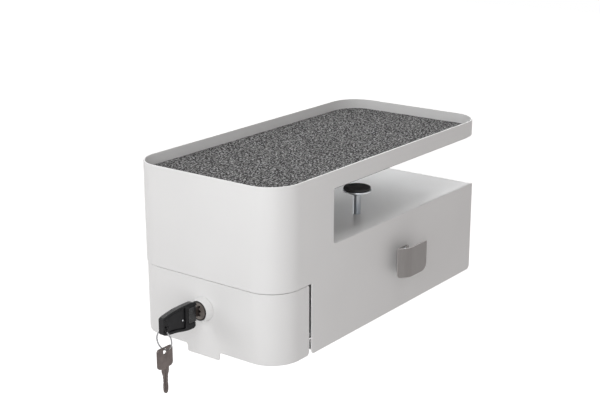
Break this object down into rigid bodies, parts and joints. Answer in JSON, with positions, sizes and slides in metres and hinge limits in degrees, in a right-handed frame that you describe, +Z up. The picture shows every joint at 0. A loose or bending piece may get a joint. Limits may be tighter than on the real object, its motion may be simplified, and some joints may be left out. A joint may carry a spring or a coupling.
{
  "type": "clamp-on desk drawer",
  "caption": "Lockable drawer hung below a desk, with a felt-lined tray on the desk top above it, a bag hook on its side, and a key in its lock with a spare on a ring.",
  "frame": {"origin": "half way across the unit, on the desk's top front edge: the desk top is z = 0 and the desk's edge is y = 0", "axes": "+X to the unit's right-hand side, +Y in over the desk, +Z up; the drawer opens along -Y"},
  "size_m": [0.2008, 0.4368, 0.1996],
  "materials": {
    "white_powder_coat": "white powder coat, satin",
    "grey_felt": "dark grey pressed felt",
    "black_rubber": "matt black rubber",
    "zinc_plate": "zinc-plated steel",
    "satin_metal": "satin grey metal",
    "dark_bronze": "dark bronze, satin",
    "black_plastic": "moulded black plastic",
    "nickel_key": "aged nickel plate"
  },
  "bodies": {
    "housing": {"shell": "white_powder_coat", "tray_floor": "white_powder_coat", "tray_felt": "grey_felt", "desk_pad": "black_rubber", "edge_plate": "white_powder_coat", "top_plate": "white_powder_coat", "back_plate": "white_powder_coat", "column_base": "white_powder_coat", "bottom_flange_left": "white_powder_coat", "bottom_flange_right": "white_powder_coat", "lock_strike": "zinc_plate", "slide_outer_left": "zinc_plate", "slide_outer_right": "zinc_plate", "bumper_left": "black_rubber", "bumper_right": "black_rubber", "bag_hook": "satin_metal", "hook_screw_1": "zinc_plate", "hook_screw_2": "zinc_plate", "clamp_nut_left": "zinc_plate", "clamp_nut_right": "zinc_plate"},
    "slides": {"slide_mid_left": "zinc_plate", "slide_mid_right": "zinc_plate"},
    "drawer": {"drawer_front": "white_powder_coat", "front_cap": "white_powder_coat", "front_base": "white_powder_coat", "front_bracket_left": "zinc_plate", "front_bracket_right": "zinc_plate", "drawer_box": "white_powder_coat", "drawer_felt": "grey_felt", "slide_inner_left": "zinc_plate", "slide_inner_right": "zinc_plate", "lock_collar": "white_powder_coat", "lock_barrel": "zinc_plate", "lock_nut": "zinc_plate"},
    "lock": {"lock_plug": "dark_bronze", "lock_cam": "zinc_plate", "cam_screw": "zinc_plate"},
    "key": {"key_blade": "nickel_key", "key_head": "black_plastic"},
    "bow": {"key_bow": "black_plastic", "fold_pin_top": "zinc_plate", "fold_pin_bottom": "zinc_plate"},
    "ring": {"key_ring": "zinc_plate"},
    "spare": {"spare_key": "nickel_key"},
    "clamp_pad_left": {"clamp_rubber_left": "black_rubber", "clamp_cup_left": "zinc_plate"},
    "clamp_pad_right": {"clamp_rubber_right": "black_rubber", "clamp_cup_right": "zinc_plate"},
    "clamp_screw_left": {"clamp_spindle_left": "zinc_plate", "clamp_knob_left": "black_plastic"},
    "clamp_screw_right": {"clamp_spindle_right": "zinc_plate", "clamp_knob_right": "black_plastic"}
  },
  "joints": [
    {"name": "drawer_slide", "type": "slide", "parent": "housing", "child": "drawer", "axis": [0, -1, 0], "range_m": [0, 0.24]},
    {"name": "slides_slide", "type": "slide", "parent": "housing", "child": "slides", "axis": [0, -1, 0], "range_m": [0, 0.12]},
    {"name": "lock_turn", "type": "hinge", "parent": "drawer", "child": "lock", "pos_m": [0, -0.0942, -0.1136], "axis": [0, 1, 0], "range_deg": [0, 90]},
    {"name": "key_pull", "type": "slide", "parent": "lock", "child": "key", "axis": [0, -1, 0], "range_m": [0, 0.027]},
    {"name": "key_fold", "type": "hinge", "parent": "key", "child": "bow", "pos_m": [0, -0.1045, -0.1136], "axis": [0, 0, 1], "range_deg": [-90, 90]},
    {"name": "ring_swing", "type": "hinge", "parent": "bow", "child": "ring", "pos_m": [0, -0.1418, -0.1182], "axis": [1, 0, 0], "range_deg": [-30, 30]},
    {"name": "spare_swing", "type": "hinge", "parent": "ring", "child": "spare", "pos_m": [0, -0.1418, -0.1366], "axis": [1, 0, 0], "range_deg": [-30, 30]},
    {"name": "clamp_left_lift", "type": "slide", "parent": "housing", "child": "clamp_pad_left", "axis": [0, 0, 1], "range_m": [-0.008, 0.01]},
    {"name": "clamp_left_screw", "type": "hinge", "parent": "clamp_pad_left", "child": "clamp_screw_left", "pos_m": [-0.052, 0.095, -0.025], "axis": [0, 0, 1], "range_deg": [-2300, 2876]},
    {"name": "clamp_right_lift", "type": "slide", "parent": "housing", "child": "clamp_pad_right", "axis": [0, 0, 1], "range_m": [-0.008, 0.01]},
    {"name": "clamp_right_screw", "type": "hinge", "parent": "clamp_pad_right", "child": "clamp_screw_right", "pos_m": [0.052, 0.095, -0.025], "axis": [0, 0, 1], "range_deg": [-2300, 2876]}
  ],
  "couplings": [
    {"joint": "slides_slide", "follows": "drawer_slide", "ratio": 0.5},
    {"joint": "clamp_left_lift", "follows": "clamp_left_screw", "m_per_rad": 0.00019894},
    {"joint": "clamp_right_lift", "follows": "clamp_right_screw", "m_per_rad": 0.00019894}
  ]
}
